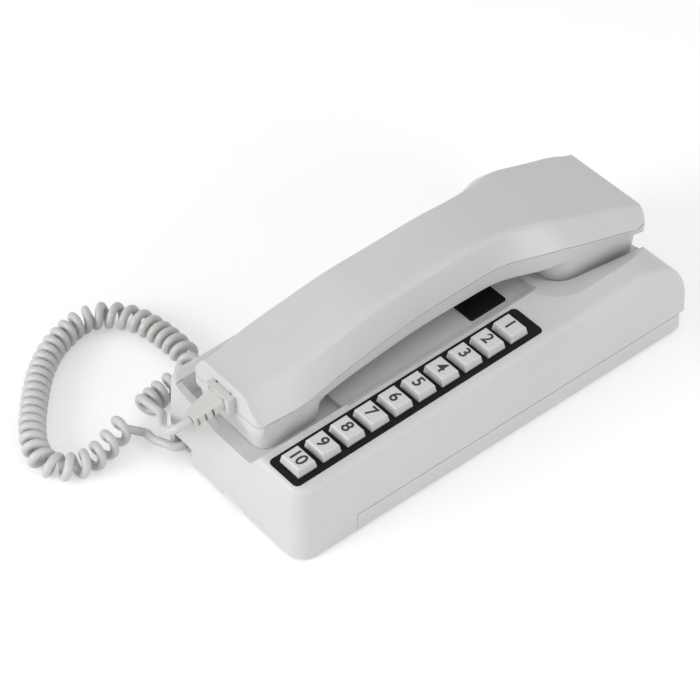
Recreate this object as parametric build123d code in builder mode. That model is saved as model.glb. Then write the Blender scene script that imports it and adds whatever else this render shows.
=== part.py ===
"""Marine intercom telephone: a desk or wall base with ten keys, a handset and a curly cord.

Millimetres. The origin is at the bottom centre of the base, +Y runs along the phone to the
earpiece end, +X points to the key side and +Z points up.
"""

from build123d import *
import math
import os

os.makedirs("parts", exist_ok=True)

# Base casing
BASE_LENGTH = 226.0
BASE_WIDTH = 95.0
NEAR_HEIGHT = 40.4
DECK_SLOPE = 1.55
DRAFT = 2.2
WALL = 2.5
CORNER_RADIUS = 8.0
EDGE_RADIUS = 3.0
NOSE_LENGTH = 31.0
NOSE_HEIGHT = 18.0
SEAM_HEIGHT = 10.0
SEAM_GAP = 0.4
APRON_LENGTH = 31.0
FOOT_STAND = 1.0
LIP = 1.2
LIP_RISE = 3.0
FIT = 0.2
REST_GAP = 0.3

# Trough for the handset
HANDSET_X = -10.0
BAY_LENGTH = 49.0
BAY_DEPTH = 6.5
BAY_WIDTH = 47.0
NEAR_LIP = 5.0
BAY_SLANT = 5.0
CHANNEL_DEPTH = 4.0
CHANNEL_WIDTH = 49.0
CHANNEL_SLANT = 5.5
LIP_STEP = 4.0

# Ear dish and pocket
DISH_WIDTH = 76.6
DISH_LENGTH = 97.0
DISH_RADIUS = 21.5
DISH_END = -22.0
CHANNEL_OVERLAP = 6.0
DISH_SHIFT = 5.7
RIM_WIDTH = 64.0
RIM_LENGTH = 85.0
RIM_RADIUS = 17.6
RIM_END = -18.0
RIM_HEIGHT = 36.4
RIM_TILT = 8.65
EAR_TILT = 13.0
EAR_HEIGHT = 32.14
EAR_FROM_END = 31.4
POCKET_WIDTH = 60.8
POCKET_LENGTH = 65.5
POCKET_RADIUS = 16.0
END_ROOM_DEPTH = 10.5
END_ROOM_LENGTH = 40.0

# Keys and panel
KEY_COUNT = 10
KEY_PITCH = 12.96
FIRST_KEY = 12.6
KEY_X = 31.5
KEY_TOP_WIDTH = 11.0
KEY_TOP_LENGTH = 8.4
KEY_BASE_WIDTH = 12.2
KEY_BASE_LENGTH = 9.7
KEY_RISE = 4.0
KEY_TRAVEL = 1.5
KEY_FLANGE = 1.0
KEY_STEM = 4.0
STEM_DEPTH = 3.2
KEY_CLEARANCE = 0.3
PANEL_WIDTH = 18.8
PANEL_MARGIN = 8.0
PANEL_FAR_EXTRA = 4.0
PANEL_THICKNESS = 1.5
PANEL_RECESS = 1.2
PANEL_RADIUS = 2.5
LABEL_WIDTH = 16.0
LABEL_LENGTH = 20.4
LABEL_THICKNESS = 0.8
LABEL_X = 5.5
LABEL_FROM_END = 92.3

# Board and what it carries
BOARD_DEPTH = 13.0
BOARD_THICKNESS = 1.6
BOARD_WIDTH = 40.2
BOARD_LENGTH = 137.0
BOARD_FROM_END = 9.0
BOARD_LEFT = 3.0
POST_DIAMETER = 4.4
POST_EDGE_X = 1.9
POST_EDGE_Y = 6.5
SWITCH_WIDTH = 11.0
SWITCH_LENGTH = 10.4
SWITCH_GAP = 0.7
SWITCH_HEIGHT = BOARD_DEPTH - WALL - KEY_CLEARANCE - KEY_FLANGE - KEY_TRAVEL - SWITCH_GAP
SCREW_SHANK = 2.4
SCREW_HEAD = 5.0
SCREW_HEAD_HEIGHT = 1.6
BUZZER_DIAMETER = 23.0
BUZZER_HEIGHT = 7.0

# Hook switch
HOOK_FROM_END = 29.0
HOOK_HEAD = 7.0
HOOK_FLANGE = 10.5
HOOK_FLANGE_HEIGHT = 1.2
HOOK_STEM = 4.6
HOOK_TRAVEL = 3.5
HOOK_BODY_WIDTH = 14.0
HOOK_BODY_LENGTH = 12.0
HOOK_BODY_HEIGHT = 10.0
HOOK_SPRING_LENGTH = 4.0

# Jack and plug
JACK_X = -33.0
JACK_WIDTH = 12.0
JACK_LENGTH = 13.0
JACK_HEIGHT = 12.0
JACK_SETBACK = 6.5
NOTCH_WIDTH = 12.0
NOTCH_HEIGHT = 10.0
PLUG_WIDTH = 7.6
PLUG_HEIGHT = 6.6
PLUG_LENGTH = 12.0
PLUG_OUT = 2.0
PLUG_Z = 7.2

# Tray
SLOT_SPREAD_X = 60.0
SLOT_SPREAD_Y = 130.0
SLOT_WIDTH = 4.5
SLOT_LENGTH = 9.0
SLOT_CENTRE_Y = 5.0
FOOT_WIDTH = 9.0
FOOT_LENGTH = 17.0
FOOT_SINK = 1.0
FOOT_X = 39.0
FOOT_FROM_END = 20.5
FOOT_PAST_JACK = 31.0
INLET_DIAMETER = 14.0
INLET_X = -18.0
INLET_FROM_END = 34.0
TERMINAL_WIDTH = 30.0
TERMINAL_LENGTH = 14.0
TERMINAL_HEIGHT = 12.0
TERMINAL_FROM_END = 62.0
RELEASE_X = 2.1
RELEASE_WIDTH = 14.7
RELEASE_HEIGHT = 1.2

# Handset
HANDSET_WALL = 2.2
HANDSET_NEAR = 7.0
HANDSET_FAR = 0.5
GRIP_RISE = 3.2
SEAM_TO_UNDER = 4.0
END_MARGIN = 1.5
SIDE_LEAN = 0.6
TOP_ROUNDING = 3.5
UNDER_ROUNDING = 2.0
MOUTH_WIDTH = 44.6
MOUTH_LENGTH = 33.0
MOUTH_TAPER = 1.4
MOUTH_RADIUS = 6.0
MOUTH_CAP_HEIGHT = 14.0
NECK_LENGTH = 15.0
NECK_INSET = 4.2
EAR_WIDTH = 57.2
EAR_LENGTH = 58.6
EAR_RADIUS = 13.0
EAR_TAPER = 1.7
EAR_CORNER = 8.0
EAR_CAP_HEIGHT = 17.5
HANDSET_SEAM = 0.3
HOOD_WIDTH = 15.2
HOOD_LENGTH = 4.0
HOOD_HEIGHT = 9.0
HOOD_Z = 52.6

# Capsules, weight and screws in the handset
RECEIVER_DIAMETER = 36.0
RECEIVER_HEIGHT = 10.0
MIC_DIAMETER = 20.0
MIC_HEIGHT = 7.0
GASKET = 1.5
GASKET_RIM = 4.0
CUP_WALL = 1.5
CUP_HEIGHT = 6.0
WEIGHT_WIDTH = 18.0
WEIGHT_LENGTH = 46.0
WEIGHT_HEIGHT = 4.5
HANDSET_SCREW_NEAR = 66.0
HANDSET_SCREW_FAR = 80.0

# Strain relief
BOOT_LENGTH = 14.0
BOOT_WIDTH = 10.5
BOOT_TIP = 7.5
BOOT_HEIGHT = 7.2
BOOT_TIP_HEIGHT = 5.8
BOOT_DROOP = 12.0
BOOT_FLANGE = 1.6

# Curly cord
WIRE = 3.9
CURL_RADIUS = 4.35
ARCS_PER_TURN = 2
START_PHASE = 270.0

NEAR = -BASE_LENGTH / 2
FAR = BASE_LENGTH / 2
SLOPE = math.radians(DECK_SLOPE)
LEAN = math.tan(math.radians(DRAFT))
BELOW = -5.0
ABOVE = 12.0

# Axis points of the coil and the pitch there, from the plug's end to the handset's end
COIL_ROUTE = [
    (-59.1, -123.6, 8.3, 8.8),
    (-57.0, -129.5, 8.1, 8.8),
    (-54.5, -136.5, 7.2, 8.4),
    (-52.6, -144.0, 6.5, 7.2),
    (-52.4, -151.8, 6.5, 6.8),
    (-56.0, -159.6, 6.5, 7.0),
    (-63.6, -163.9, 6.5, 7.0),
    (-73.6, -162.3, 6.5, 5.8),
    (-84.0, -156.4, 6.5, 4.9),
    (-94.6, -148.0, 6.5, 4.8),
    (-103.5, -140.2, 6.5, 4.9),
    (-111.0, -132.6, 6.5, 4.95),
    (-118.3, -122.4, 6.5, 5.2),
    (-122.6, -112.0, 6.5, 5.6),
    (-125.2, -101.0, 6.5, 6.2),
    (-122.4, -90.8, 6.5, 6.8),
    (-113.0, -82.6, 6.5, 6.6),
    (-102.7, -79.0, 6.5, 5.8),
    (-88.0, -77.4, 6.5, 5.2),
    (-78.0, -77.4, 6.5, 7.2),
    (-70.4, -79.0, 6.5, 9.6),
    (-66.8, -85.2, 6.5, 9.8),
    (-66.4, -93.4, 6.5, 7.6),
    (-65.2, -101.6, 6.5, 5.2),
    (-63.0, -111.0, 6.5, 4.8),
]

# Corners of the two plain tails, between their straight ends
PLUG_TAIL = [
    (-39.6, -117.8, 7.3),
    (-45.6, -119.8, 6.0),
]
HANDSET_TAIL = [
    (-49.4, -110.9, 13.0),
    (-43.6, -115.2, 17.0),
    (-37.0, -119.6, 22.8),
    (-30.2, -124.2, 29.6),
    (-23.6, -128.6, 36.6),
    (-17.0, -132.0, 42.8),
]
PLUG_LEAD = 7.0
COIL_LEAD = 5.0
BOOT_LEAD = 7.0


def deck_z(y):
    """Height of the sloping deck at a place along the phone."""
    return NEAR_HEIGHT + (y - NEAR) * math.tan(SLOPE)


def on_deck(x, y, height):
    """Plane parallel to the deck, at a height along its normal."""
    up = (0, -math.sin(SLOPE), math.cos(SLOPE))
    return Plane(origin=(x, y, deck_z(y)), x_dir=(1, 0, 0), z_dir=up).offset(height)


def across(y):
    """Plane across the phone: local x is +X, local y is the height over the deck."""
    toward_near = (0, -math.cos(SLOPE), -math.sin(SLOPE))
    return Plane(origin=(0, y, deck_z(y)), x_dir=(1, 0, 0), z_dir=toward_near)


def tilted(y, z, angle):
    """Plane over the handset's centre line that falls to the far end by an angle in degrees."""
    fall = math.radians(angle)
    return Plane(origin=(HANDSET_X, y, z), x_dir=(1, 0, 0), z_dir=(0, math.sin(fall), math.cos(fall)))


def arc_joint(start, start_dir, end, end_dir):
    """Point where two arcs meet that leave both ends along the given directions."""
    span = end - start
    a = 2 * (start_dir.dot(end_dir) - 1)
    b = -2 * span.dot(start_dir + end_dir)
    c = span.dot(span)
    reach = (-b - math.sqrt(b * b - 4 * a * c)) / (2 * a)
    if reach < 0:
        reach = (-b + math.sqrt(b * b - 4 * a * c)) / (2 * a)
    return (start + start_dir * reach + end - end_dir * reach) * 0.5


# Base casing: side profile with a rounded nose, leaning sides and rounded near corners
def base_form(inset):
    near = NEAR + inset
    far = FAR - inset
    near_top = near + LEAN * NEAR_HEIGHT
    deck_end = Vector(FAR - NOSE_LENGTH, deck_z(FAR - NOSE_LENGTH) - inset)
    deck_dir = Vector(math.cos(SLOPE), math.sin(SLOPE))
    nose_end = Vector(far - LEAN * NOSE_HEIGHT, NOSE_HEIGHT)
    nose_dir = Vector(LEAN, -1).normalized()
    nose_middle = arc_joint(deck_end, deck_dir, nose_end, nose_dir)
    half = BASE_WIDTH / 2 - inset
    top = NEAR_HEIGHT + ABOVE
    with BuildPart() as form:
        with BuildSketch(Plane.YZ):
            with BuildLine():
                Polyline(
                    (nose_end.X, nose_end.Y),
                    (far - LEAN * BELOW, BELOW),
                    (near + LEAN * BELOW, BELOW),
                    (near_top, deck_z(near_top) - inset),
                    (deck_end.X, deck_end.Y),
                )
                nose = TangentArc(deck_end, nose_middle, tangent=deck_dir)
                TangentArc(nose_middle, nose_end, tangent=nose % 1)
            make_face()
        extrude(amount=BASE_WIDTH, both=True)
        with BuildSketch(Plane.XZ):
            with BuildLine():
                Polyline(
                    (-half + LEAN * BELOW, BELOW),
                    (half - LEAN * BELOW, BELOW),
                    (half - LEAN * top, top),
                    (-half + LEAN * top, top),
                    close=True,
                )
            make_face()
        extrude(amount=BASE_LENGTH, both=True, mode=Mode.INTERSECT)
        corners = form.edges().filter_by(
            lambda edge: edge.center().Y < near + EDGE_RADIUS and abs(edge.center().X) > half - EDGE_RADIUS
            and BELOW + 1 < edge.center().Z < NEAR_HEIGHT - EDGE_RADIUS
        )
        fillet(corners, CORNER_RADIUS - inset)
    return form.part


def rounded_deck(form):
    """Round the whole top outline, down the nose and the far corners."""
    with BuildPart() as rounded:
        add(form)
        rim = rounded.edges().filter_by(
            lambda edge: edge.center().Z > BELOW + 1
            and not (abs(edge.center().X) < 1 and edge.center().Y > NEAR + CORNER_RADIUS)
            and not (edge.center().Y < 0 and edge.center().Z < NEAR_HEIGHT - EDGE_RADIUS)
        )
        fillet(rim, EDGE_RADIUS)
    return rounded.part


# Trough: mouth bay, grip channel and ear pocket, grown by a wall for the space inside the casing
def trough_form(grow):
    bay_start = NEAR + NEAR_LIP - grow
    bay_end = NEAR + BAY_LENGTH + grow
    channel_start = NEAR + BAY_LENGTH - grow
    channel_end = FAR - DISH_END - DISH_LENGTH + CHANNEL_OVERLAP + grow
    with BuildPart() as trough:
        for start, end, depth, width, slant in (
            (bay_start, bay_end, BAY_DEPTH, BAY_WIDTH, BAY_SLANT),
            (channel_start, channel_end, CHANNEL_DEPTH, CHANNEL_WIDTH, CHANNEL_SLANT),
        ):
            left = HANDSET_X - width / 2
            right = HANDSET_X + width / 2
            with BuildSketch(across(end)):
                with BuildLine():
                    Polyline(
                        (left, -depth),
                        (right, -depth),
                        (right + slant, 0),
                        (right + slant, ABOVE),
                        (left - slant, ABOVE),
                        (left - slant, 0),
                        close=True,
                    )
                make_face()
                if grow:
                    offset(amount=grow, kind=Kind.INTERSECTION)
            extrude(amount=(end - start) / math.cos(SLOPE))
        dish_y = FAR - DISH_END - DISH_LENGTH / 2
        rim_y = FAR - RIM_END - RIM_LENGTH / 2
        ear_y = FAR - EAR_FROM_END
        with BuildSketch(on_deck(HANDSET_X + DISH_SHIFT, dish_y, 0)):
            RectangleRounded(DISH_WIDTH + 2 * grow, DISH_LENGTH + 2 * grow, DISH_RADIUS + grow)
        with BuildSketch(tilted(rim_y, RIM_HEIGHT, RIM_TILT)):
            RectangleRounded(RIM_WIDTH + 2 * grow, RIM_LENGTH + 2 * grow, RIM_RADIUS + grow)
        loft(ruled=True)
        with BuildSketch(on_deck(HANDSET_X + DISH_SHIFT, dish_y, 0)):
            RectangleRounded(DISH_WIDTH + 2 * grow, DISH_LENGTH + 2 * grow, DISH_RADIUS + grow)
        extrude(amount=ABOVE)
        with BuildSketch(tilted(rim_y, RIM_HEIGHT, RIM_TILT)):
            RectangleRounded(RIM_WIDTH + 2 * grow, RIM_LENGTH + 2 * grow, RIM_RADIUS + grow)
        with BuildSketch(tilted(ear_y, EAR_HEIGHT, EAR_TILT).offset(-grow)):
            RectangleRounded(POCKET_WIDTH + 2 * grow, POCKET_LENGTH + 2 * grow, POCKET_RADIUS + grow)
        loft(ruled=True)
        room_y = FAR - HANDSET_FAR + 2 * REST_GAP - END_ROOM_LENGTH / 2
        room_width = EAR_WIDTH + 2 * EAR_TAPER + 6 * REST_GAP
        with BuildSketch(on_deck(HANDSET_X, room_y, -END_ROOM_DEPTH - grow)):
            RectangleRounded(room_width + 2 * grow, END_ROOM_LENGTH + 2 * grow, EAR_CORNER + grow)
        extrude(amount=END_ROOM_DEPTH + ABOVE)
    return trough.part


def key_y(number):
    """Place of a key along the phone: key 1 is nearest the earpiece."""
    return NEAR + FIRST_KEY + (KEY_COUNT - number) * KEY_PITCH


panel_length = (KEY_COUNT - 1) * KEY_PITCH + 2 * PANEL_MARGIN + PANEL_FAR_EXTRA
panel_y = (key_y(1) + key_y(KEY_COUNT) + PANEL_FAR_EXTRA) / 2 - 0.6
window_width = KEY_BASE_WIDTH + 2 * KEY_CLEARANCE
window_length = KEY_BASE_LENGTH + 2 * KEY_CLEARANCE
board_top = -BOARD_DEPTH
board_under = board_top - BOARD_THICKNESS
board_x = BOARD_LEFT + BOARD_WIDTH / 2
board_y = NEAR + BOARD_FROM_END + BOARD_LENGTH / 2
post_right = BOARD_LEFT + BOARD_WIDTH - POST_EDGE_X
post_left = BOARD_LEFT + POST_EDGE_X * 2.5
post_near = board_y - BOARD_LENGTH / 2 + POST_EDGE_Y
post_far = board_y + BOARD_LENGTH / 2 - POST_EDGE_Y
post_places = [
    (post_right, post_near, 0),
    (post_right, post_far, 0),
    (post_left, post_near, BAY_DEPTH),
    (post_left, post_far, CHANNEL_DEPTH),
]
post_hole = SCREW_SHANK + FIT
hook_y = NEAR + HOOK_FROM_END
jack_front = NEAR + JACK_SETBACK

# Cover
outer_form = rounded_deck(base_form(0))
inner_form = base_form(WALL) - trough_form(WALL)
trough_cut = trough_form(0)

with BuildPart() as base_cover:
    add(outer_form)
    add(inner_form, mode=Mode.SUBTRACT)
    add(trough_cut, mode=Mode.SUBTRACT)
    with BuildSketch(across(NEAR + NEAR_LIP + 1)):
        left = HANDSET_X - BAY_WIDTH / 2
        right = HANDSET_X + BAY_WIDTH / 2
        with BuildLine():
            Polyline(
                (left + BAY_WIDTH / 2, -BAY_DEPTH),
                (right, -BAY_DEPTH),
                (right + BAY_SLANT, 0),
                (right + BAY_SLANT, ABOVE),
                (left - BAY_SLANT, ABOVE),
                (left - BAY_SLANT, -1),
                (left + BAY_SLANT, -BAY_DEPTH + LIP_STEP),
                close=True,
            )
        make_face()
    extrude(amount=NEAR_LIP * 2, mode=Mode.SUBTRACT)
    with Locations((0, (NEAR + APRON_LENGTH + FAR) / 2 + 1, SEAM_HEIGHT)):
        Box(
            BASE_WIDTH * 2, BASE_LENGTH - APRON_LENGTH + 2, SEAM_HEIGHT - BELOW,
            align=(Align.CENTER, Align.CENTER, Align.MAX), mode=Mode.SUBTRACT,
        )
    with Locations((0, 0, FOOT_STAND)):
        Box(
            BASE_WIDTH * 2, BASE_LENGTH * 2, FOOT_STAND - 2 * BELOW,
            align=(Align.CENTER, Align.CENTER, Align.MAX), mode=Mode.SUBTRACT,
        )
    with Locations((JACK_X, NEAR, NOTCH_HEIGHT / 2)):
        Box(NOTCH_WIDTH, WALL * 4, NOTCH_HEIGHT, mode=Mode.SUBTRACT)
    with Locations((RELEASE_X, NEAR, FOOT_STAND)):
        Box(RELEASE_WIDTH, WALL * 4, RELEASE_HEIGHT * 2, mode=Mode.SUBTRACT)
    with BuildSketch(on_deck(KEY_X, panel_y, 0)):
        RectangleRounded(PANEL_WIDTH + FIT, panel_length + FIT, PANEL_RADIUS)
    extrude(amount=-PANEL_RECESS, mode=Mode.SUBTRACT)
    for number in range(1, KEY_COUNT + 1):
        with BuildSketch(on_deck(KEY_X, key_y(number), 1)):
            Rectangle(window_width, window_length)
        extrude(amount=-WALL - 2, mode=Mode.SUBTRACT)
    with BuildSketch(on_deck(HANDSET_X, hook_y, -BAY_DEPTH + 1)):
        Circle(HOOK_HEAD / 2 + KEY_CLEARANCE)
    extrude(amount=-WALL - 2, mode=Mode.SUBTRACT)
    for x, y, depth in post_places:
        with BuildSketch(on_deck(x, y, board_top)):
            Circle(POST_DIAMETER / 2)
        extrude(amount=BOARD_DEPTH - depth - WALL / 2)
        with BuildSketch(on_deck(x, y, board_top)):
            Circle(post_hole / 2)
        extrude(amount=BOARD_DEPTH - BAY_DEPTH - WALL, mode=Mode.SUBTRACT)
base_cover.part.label = "base_cover"
export_step(base_cover.part, "parts/base_cover.step")

# Tray: floor with slots for wall screws, low walls beyond the cover's apron, and a locating lip
tray_floor_top = FOOT_STAND + WALL


lip_inset = WALL + 2 * FIT + LEAN * (SEAM_HEIGHT + LIP_RISE)
wall_start = NEAR + APRON_LENGTH + FIT
foot_places = [
    (FOOT_X, NEAR + FOOT_FROM_END),
    (-FOOT_X, NEAR + FOOT_PAST_JACK),
    (FOOT_X, FAR - FOOT_FROM_END),
    (-FOOT_X, FAR - FOOT_FROM_END),
]


def tray_outline(inset, mode=Mode.ADD):
    corner = max(CORNER_RADIUS - inset, LIP)
    return RectangleRounded(BASE_WIDTH - 2 * inset, BASE_LENGTH - 2 * inset, corner, mode=mode)


with BuildPart() as base_tray:
    with BuildSketch(Plane.XY.offset(FOOT_STAND)):
        tray_outline(WALL + FIT)
    extrude(amount=WALL)
    with BuildSketch(Plane.XY.offset(FOOT_STAND)):
        tray_outline(0)
        with Locations((0, wall_start)):
            Rectangle(BASE_WIDTH * 2, BASE_LENGTH * 2, align=(Align.CENTER, Align.MAX), mode=Mode.SUBTRACT)
    with BuildSketch(Plane.XY.offset(SEAM_HEIGHT - SEAM_GAP)):
        tray_outline(LEAN * SEAM_HEIGHT)
        with Locations((0, wall_start)):
            Rectangle(BASE_WIDTH * 2, BASE_LENGTH * 2, align=(Align.CENTER, Align.MAX), mode=Mode.SUBTRACT)
    loft(ruled=True)
    with BuildSketch(Plane.XY.offset(tray_floor_top)):
        tray_outline(lip_inset + LIP)
    extrude(amount=SEAM_HEIGHT, mode=Mode.SUBTRACT)
    with BuildSketch(Plane.XY.offset(SEAM_HEIGHT - SEAM_GAP - LIP)):
        tray_outline(lip_inset)
        tray_outline(lip_inset + LIP, Mode.SUBTRACT)
        with Locations((0, wall_start)):
            Rectangle(BASE_WIDTH * 2, BASE_LENGTH * 2, align=(Align.CENTER, Align.MAX), mode=Mode.SUBTRACT)
    extrude(amount=LIP_RISE)
    with BuildSketch(Plane.XY.offset(FOOT_STAND)):
        with Locations((0, SLOT_CENTRE_Y)):
            with GridLocations(SLOT_SPREAD_X, SLOT_SPREAD_Y, 2, 2):
                SlotOverall(SLOT_LENGTH, SLOT_WIDTH)
        with Locations((INLET_X, FAR - INLET_FROM_END)):
            Circle(INLET_DIAMETER / 2)
        with Locations((JACK_X, jack_front)):
            Rectangle(JACK_WIDTH + 2 * FIT, (JACK_LENGTH + FIT) * 2)
        with Locations((JACK_X, NEAR)):
            Rectangle(JACK_WIDTH + 2 * FIT, JACK_SETBACK * 2)
    extrude(amount=WALL, mode=Mode.SUBTRACT)
    with BuildSketch(Plane.XY.offset(FOOT_STAND)):
        with Locations(foot_places):
            RectangleRounded(FOOT_WIDTH + FIT, FOOT_LENGTH + FIT, 2)
    extrude(amount=FOOT_SINK, mode=Mode.SUBTRACT)
    hook_seat = -BAY_DEPTH - WALL - REST_GAP - HOOK_TRAVEL - HOOK_FLANGE_HEIGHT - 1.5 - HOOK_BODY_HEIGHT
    with BuildSketch(on_deck(HANDSET_X, hook_y, hook_seat)):
        Rectangle(HOOK_BODY_WIDTH, HOOK_BODY_LENGTH)
    extrude(amount=-(deck_z(hook_y) + hook_seat - FOOT_STAND - WALL / 2))
base_tray.part.label = "base_tray"
export_step(base_tray.part, "parts/base_tray.step")

with BuildPart() as rubber_feet:
    with BuildSketch():
        with Locations(foot_places):
            RectangleRounded(FOOT_WIDTH, FOOT_LENGTH, 2)
    extrude(amount=FOOT_STAND + FOOT_SINK)
rubber_feet.part.label = "rubber_feet"
export_step(rubber_feet.part, "parts/rubber_feet.step")

# Key panel and label plate
with BuildPart() as key_panel:
    with BuildSketch(on_deck(KEY_X, panel_y, -PANEL_RECESS)):
        RectangleRounded(PANEL_WIDTH, panel_length, PANEL_RADIUS)
    extrude(amount=PANEL_THICKNESS)
    panel_top = PANEL_THICKNESS - PANEL_RECESS
    for number in range(1, KEY_COUNT + 1):
        with BuildSketch(on_deck(KEY_X, key_y(number), panel_top)):
            Rectangle(window_width, window_length)
        extrude(amount=-PANEL_THICKNESS, mode=Mode.SUBTRACT)
key_panel.part.label = "key_panel"
export_step(key_panel.part, "parts/key_panel.step")

with BuildPart() as label_plate:
    with BuildSketch(on_deck(LABEL_X, FAR - LABEL_FROM_END, -CHANNEL_DEPTH)):
        RectangleRounded(LABEL_WIDTH, LABEL_LENGTH, 1)
    extrude(amount=LABEL_THICKNESS)
label_plate.part.label = "label_plate"
export_step(label_plate.part, "parts/label_plate.step")


# Springs and the curly cord share this helix of tangent arcs
def helix_edges(places, directions):
    """Arcs through a row of places, two between each pair."""
    edges = []
    for start, start_dir, end, end_dir in zip(places, directions, places[1:], directions[1:]):
        middle = arc_joint(start, start_dir, end, end_dir)
        first = Edge.make_tangent_arc(start, start_dir, middle)
        second = Edge.make_tangent_arc(middle, first % 1, end)
        edges += [first, second]
    return edges


def spring_part(plane, radius, wire, length, turns):
    """Round wire spring that stands on a plane."""
    places = []
    directions = []
    rise = length / (2 * math.pi * turns)
    for step in range(int(turns * 4) + 1):
        angle = step * math.pi / 2
        local = Vector(radius * math.cos(angle), radius * math.sin(angle), rise * angle)
        ahead = Vector(-radius * math.sin(angle), radius * math.cos(angle), rise).normalized()
        places.append(plane.from_local_coords(local))
        directions.append(plane.from_local_coords(local + ahead) - plane.from_local_coords(local))
    edges = helix_edges(places, directions)
    with BuildPart() as spring:
        with BuildSketch(Plane(origin=edges[0] @ 0, z_dir=edges[0] % 0)):
            Circle(wire / 2)
        sweep(path=Wire(edges))
    return spring.part


# Keys, each with its return spring
stem_end = -BOARD_DEPTH + SWITCH_HEIGHT - STEM_DEPTH
flange_top = -WALL - KEY_CLEARANCE
key_top = PANEL_THICKNESS - PANEL_RECESS + KEY_RISE
bore_floor = board_top + 0.6
spring_wire = 0.4
spring_gap = 0.2
for number in range(1, KEY_COUNT + 1):
    place = key_y(number)
    with BuildPart() as key:
        with BuildSketch(on_deck(KEY_X, place, flange_top - KEY_FLANGE)):
            Rectangle(window_width + 1.4, window_length + 1.2)
        extrude(amount=KEY_FLANGE)
        with BuildSketch(on_deck(KEY_X, place, flange_top)):
            Rectangle(KEY_BASE_WIDTH, KEY_BASE_LENGTH)
        extrude(amount=panel_top - flange_top)
        with BuildSketch(on_deck(KEY_X, place, panel_top)):
            Rectangle(KEY_BASE_WIDTH, KEY_BASE_LENGTH)
        with BuildSketch(on_deck(KEY_X, place, key_top)):
            Rectangle(KEY_TOP_WIDTH, KEY_TOP_LENGTH)
        loft(ruled=True)
        crown = key.faces().sort_by(Axis.Z)[-1]
        chamfer(crown.edges(), 0.5)
        with BuildSketch(on_deck(KEY_X, place, flange_top - KEY_FLANGE)):
            Rectangle(KEY_TOP_WIDTH - 2.4, KEY_TOP_LENGTH - 2.4)
        extrude(amount=key_top - flange_top + KEY_FLANGE - 1.4, mode=Mode.SUBTRACT)
        with BuildSketch(on_deck(KEY_X, place, stem_end)):
            Circle(KEY_STEM / 2)
        extrude(amount=key_top - stem_end - 1)
    key.part.label = f"key_{number}"
    export_step(key.part, f"parts/key_{number}.step")
    rest_length = stem_end - bore_floor - spring_wire - 2 * spring_gap
    seat = on_deck(KEY_X, place, bore_floor + spring_gap + spring_wire / 2)
    key_spring = spring_part(seat, KEY_STEM / 2 - spring_wire, spring_wire, rest_length, 2.5)
    key_spring.label = f"key_spring_{number}"
    export_step(key_spring, f"parts/key_spring_{number}.step")

with BuildPart() as key_switches:
    for number in range(1, KEY_COUNT + 1):
        with BuildSketch(on_deck(KEY_X, key_y(number), board_top)):
            Rectangle(SWITCH_WIDTH, SWITCH_LENGTH)
        extrude(amount=SWITCH_HEIGHT)
        with BuildSketch(on_deck(KEY_X, key_y(number), bore_floor)):
            Circle(KEY_STEM / 2 + KEY_CLEARANCE)
        extrude(amount=SWITCH_HEIGHT, mode=Mode.SUBTRACT)
key_switches.part.label = "key_switches"
export_step(key_switches.part, "parts/key_switches.step")

# Circuit board and its parts
with BuildPart() as circuit_board:
    with BuildSketch(on_deck(board_x, board_y, board_under)):
        RectangleRounded(BOARD_WIDTH, BOARD_LENGTH, 2)
    extrude(amount=BOARD_THICKNESS)
    for x, y, depth in post_places:
        with BuildSketch(on_deck(x, y, board_under)):
            Circle(SCREW_SHANK / 2 + FIT)
        extrude(amount=BOARD_THICKNESS, mode=Mode.SUBTRACT)
circuit_board.part.label = "circuit_board"
export_step(circuit_board.part, "parts/circuit_board.step")

with BuildPart() as board_screws:
    for x, y, depth in post_places:
        with BuildSketch(on_deck(x, y, board_under)):
            Circle(SCREW_HEAD / 2)
        extrude(amount=-SCREW_HEAD_HEIGHT)
        with BuildSketch(on_deck(x, y, board_under)):
            Circle(SCREW_SHANK / 2)
        extrude(amount=BOARD_THICKNESS + BOARD_DEPTH - BAY_DEPTH - WALL - FIT)
board_screws.part.label = "board_screws"
export_step(board_screws.part, "parts/board_screws.step")

with BuildPart() as board_parts:
    for x, y, width, length, height in (
        (board_x, board_y + 28, 20, 18, 13),
        (board_x + 4, board_y + 50, 19, 10, 9),
        (board_x - 6, board_y - 36, 10, 26, 4),
    ):
        with BuildSketch(on_deck(x, y, board_under)):
            Rectangle(width, length)
        extrude(amount=-height)
    for x, y in ((board_x - 12, board_y), (board_x - 12, board_y + 52)):
        with BuildSketch(on_deck(x, y, board_under)):
            Circle(4)
        extrude(amount=-11)
board_parts.part.label = "board_parts"
export_step(board_parts.part, "parts/board_parts.step")

with BuildPart() as call_buzzer:
    with BuildSketch(on_deck(board_x + 4, board_y - 6, board_under)):
        Circle(BUZZER_DIAMETER / 2)
    extrude(amount=-BUZZER_HEIGHT)
    with BuildSketch(on_deck(board_x + 4, board_y - 6, board_under - BUZZER_HEIGHT)):
        Circle(2)
    extrude(amount=2, mode=Mode.SUBTRACT)
call_buzzer.part.label = "call_buzzer"
export_step(call_buzzer.part, "parts/call_buzzer.step")

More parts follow.
